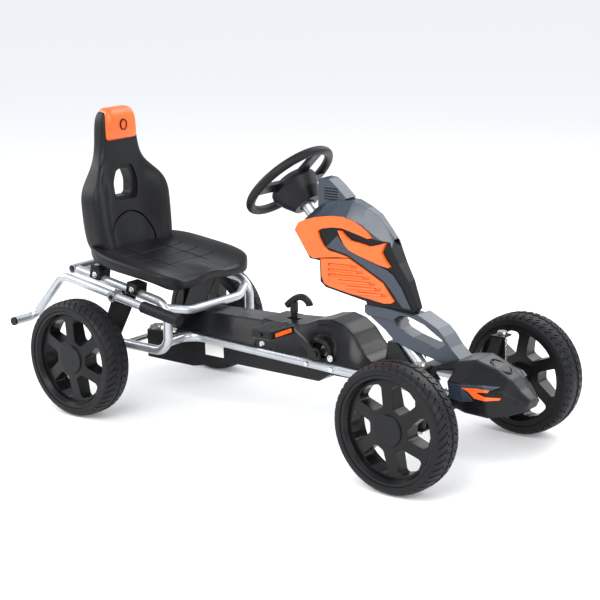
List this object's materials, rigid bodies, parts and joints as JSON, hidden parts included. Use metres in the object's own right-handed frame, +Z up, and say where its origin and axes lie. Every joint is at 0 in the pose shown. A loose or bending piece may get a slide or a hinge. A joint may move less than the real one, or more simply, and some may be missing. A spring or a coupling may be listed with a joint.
{
  "type": "pedal go kart",
  "caption": "Child-size pedal go kart with bucket seat, tube frame, spoked wheels, angled steering column, nose fairing and hand brake.",
  "frame": {"origin": "on the floor, below the centre of the overall bounding box", "axes": "+X forward, +Y to the driver's left, +Z up"},
  "size_m": [1.425, 0.606, 0.759],
  "materials": {
    "tyre": "matt black solid rubber",
    "rim": "satin black moulded plastic",
    "black_paint": "semi-gloss black powder coat",
    "silver_paint": "silver powder-coated tube",
    "bright_steel": "zinc-plated steel",
    "chain_steel": "oiled roller chain steel",
    "seat_plastic": "grained black plastic",
    "black_plastic": "satin black plastic",
    "slate_plastic": "dark slate moulded plastic",
    "orange_plastic": "orange moulded plastic",
    "bush_plastic": "pale bearing plastic",
    "label": "plain white sticker",
    "grip_rubber": "black moulded grip"
  },
  "bodies": {
    "chassis": {"main_frame": "silver_paint", "seat_frame": "silver_paint", "rear_axle_brackets": "black_paint", "shaft_bearings": "bush_plastic", "crank_hangers": "black_paint", "chain_cover_rear": "black_plastic", "chain_cover_front": "black_plastic", "belly_tray": "black_plastic", "blank_label": "label", "front_axle_beam": "black_paint", "column_tube": "silver_paint", "column_bushes": "bush_plastic", "column_bracket": "black_paint", "cowl_body": "black_plastic", "cowl_top": "slate_plastic", "horn_pod": "slate_plastic", "cowl_side_panels": "orange_plastic", "cowl_blades": "orange_plastic", "cowl_lower_panels": "orange_plastic", "cowl_legs": "slate_plastic", "nose_cover": "black_plastic", "nose_cheeks": "slate_plastic", "nose_accents": "orange_plastic", "frame_bolts": "bright_steel", "brake_pivot_bracket": "black_paint", "drive_chain": "chain_steel", "shift_bracket": "black_paint"},
    "seat": {"seat_shell": "seat_plastic", "headrest_pad": "orange_plastic", "headrest_disc": "black_plastic", "seat_clamps": "black_paint"},
    "steering_column": {"steering_wheel_ring": "grip_rubber", "steering_wheel_hub": "black_plastic", "steering_shaft": "bright_steel"},
    "left_pillar": {"kingpin_left": "bright_steel", "pillar_spring_left": "bright_steel"},
    "right_pillar": {"kingpin_right": "bright_steel", "pillar_spring_right": "bright_steel"},
    "left_knuckle": {"knuckle_left": "black_paint"},
    "right_knuckle": {"knuckle_right": "black_paint"},
    "left_tie_rod": {"tie_rod_left": "bright_steel"},
    "right_tie_rod": {"tie_rod_right": "bright_steel"},
    "front_left_wheel": {"tyre_front_left": "tyre", "rim_front_left": "rim"},
    "front_right_wheel": {"tyre_front_right": "tyre", "rim_front_right": "rim"},
    "rear_axle": {"rear_axle_shaft": "bright_steel", "rear_sprocket": "chain_steel", "tyre_rear_right": "tyre", "rim_rear_right": "rim"},
    "rear_left_wheel": {"tyre_rear_left": "tyre", "rim_rear_left": "rim"},
    "crank": {"crank_axle": "bright_steel", "front_sprocket": "chain_steel", "crank_arms": "black_paint"},
    "left_pedal": {"pedal_left": "black_plastic"},
    "right_pedal": {"pedal_right": "black_plastic"},
    "brake": {"brake_lever": "silver_paint", "brake_grip": "grip_rubber"},
    "shifter": {"shift_lever": "black_plastic"}
  },
  "joints": [
    {"name": "seat_slide", "type": "slide", "parent": "chassis", "child": "seat", "axis": [0.9877, 0, -0.1564], "range_m": [-0.03, 0.03]},
    {"name": "steering_turn", "type": "hinge", "parent": "chassis", "child": "steering_column", "pos_m": [0.4705, 0, 0.15], "axis": [-0.6984, 0, 0.7157], "range_deg": [-35, 35]},
    {"name": "left_pillar_turn", "type": "hinge", "parent": "chassis", "child": "left_pillar", "pos_m": [0.5225, 0.168, 0.12], "axis": [0, 0, 1], "range_deg": [-24.6, 24.6]},
    {"name": "left_suspension", "type": "slide", "parent": "left_pillar", "child": "left_knuckle", "axis": [0, 0, 1], "range_m": [0, 0.015], "stiffness_N_per_m": 6000, "springref_m": -0.02, "deforming": ["pillar_spring_left"]},
    {"name": "left_tie_rod_swing", "type": "hinge", "parent": "left_pillar", "child": "left_tie_rod", "pos_m": [0.4625, 0.168, 0.107], "axis": [0, 0, 1], "range_deg": [-24.6, 24.6]},
    {"name": "front_left_wheel_spin", "type": "hinge", "parent": "left_knuckle", "child": "front_left_wheel", "pos_m": [0.5225, 0.265, 0.15], "axis": [0, 1, 0], "continuous": true},
    {"name": "right_pillar_turn", "type": "hinge", "parent": "chassis", "child": "right_pillar", "pos_m": [0.5225, -0.168, 0.12], "axis": [0, 0, 1], "range_deg": [-24.6, 24.6]},
    {"name": "right_suspension", "type": "slide", "parent": "right_pillar", "child": "right_knuckle", "axis": [0, 0, 1], "range_m": [0, 0.015], "stiffness_N_per_m": 6000, "springref_m": -0.02, "deforming": ["pillar_spring_right"]},
    {"name": "right_tie_rod_swing", "type": "hinge", "parent": "right_pillar", "child": "right_tie_rod", "pos_m": [0.4625, -0.168, 0.107], "axis": [0, 0, 1], "range_deg": [-24.6, 24.6]},
    {"name": "front_right_wheel_spin", "type": "hinge", "parent": "right_knuckle", "child": "front_right_wheel", "pos_m": [0.5225, -0.265, 0.15], "axis": [0, 1, 0], "continuous": true},
    {"name": "rear_axle_spin", "type": "hinge", "parent": "chassis", "child": "rear_axle", "pos_m": [-0.4775, 0, 0.15], "axis": [0, 1, 0], "continuous": true, "deforming": ["drive_chain"]},
    {"name": "rear_left_wheel_spin", "type": "hinge", "parent": "rear_axle", "child": "rear_left_wheel", "pos_m": [-0.4775, 0.265, 0.15], "axis": [0, 1, 0], "continuous": true},
    {"name": "crank_spin", "type": "hinge", "parent": "chassis", "child": "crank", "pos_m": [0.16562, 0, 0.223], "axis": [0, 1, 0], "continuous": true},
    {"name": "left_pedal_spin", "type": "hinge", "parent": "crank", "child": "left_pedal", "pos_m": [0.25381, 0.15, 0.16789], "axis": [0, 1, 0], "continuous": true},
    {"name": "right_pedal_spin", "type": "hinge", "parent": "crank", "child": "right_pedal", "pos_m": [0.07742, -0.15, 0.27811], "axis": [0, 1, 0], "continuous": true},
    {"name": "brake_pull", "type": "hinge", "parent": "chassis", "child": "brake", "pos_m": [-0.3975, -0.205, 0.31], "axis": [0, -1, 0], "range_deg": [0, 26]},
    {"name": "shift_swing", "type": "hinge", "parent": "chassis", "child": "shifter", "pos_m": [0.02162, 0, 0.24], "axis": [0, 1, 0], "range_deg": [-12, 12]}
  ],
  "couplings": [
    {"joint": "left_pillar_turn", "follows": "steering_turn", "ratio": 0.7},
    {"joint": "right_pillar_turn", "follows": "steering_turn", "ratio": 0.7},
    {"joint": "left_tie_rod_swing", "follows": "steering_turn", "ratio": -0.7},
    {"joint": "right_tie_rod_swing", "follows": "steering_turn", "ratio": -0.7},
    {"joint": "crank_spin", "follows": "rear_axle_spin", "ratio": 0.5}
  ]
}
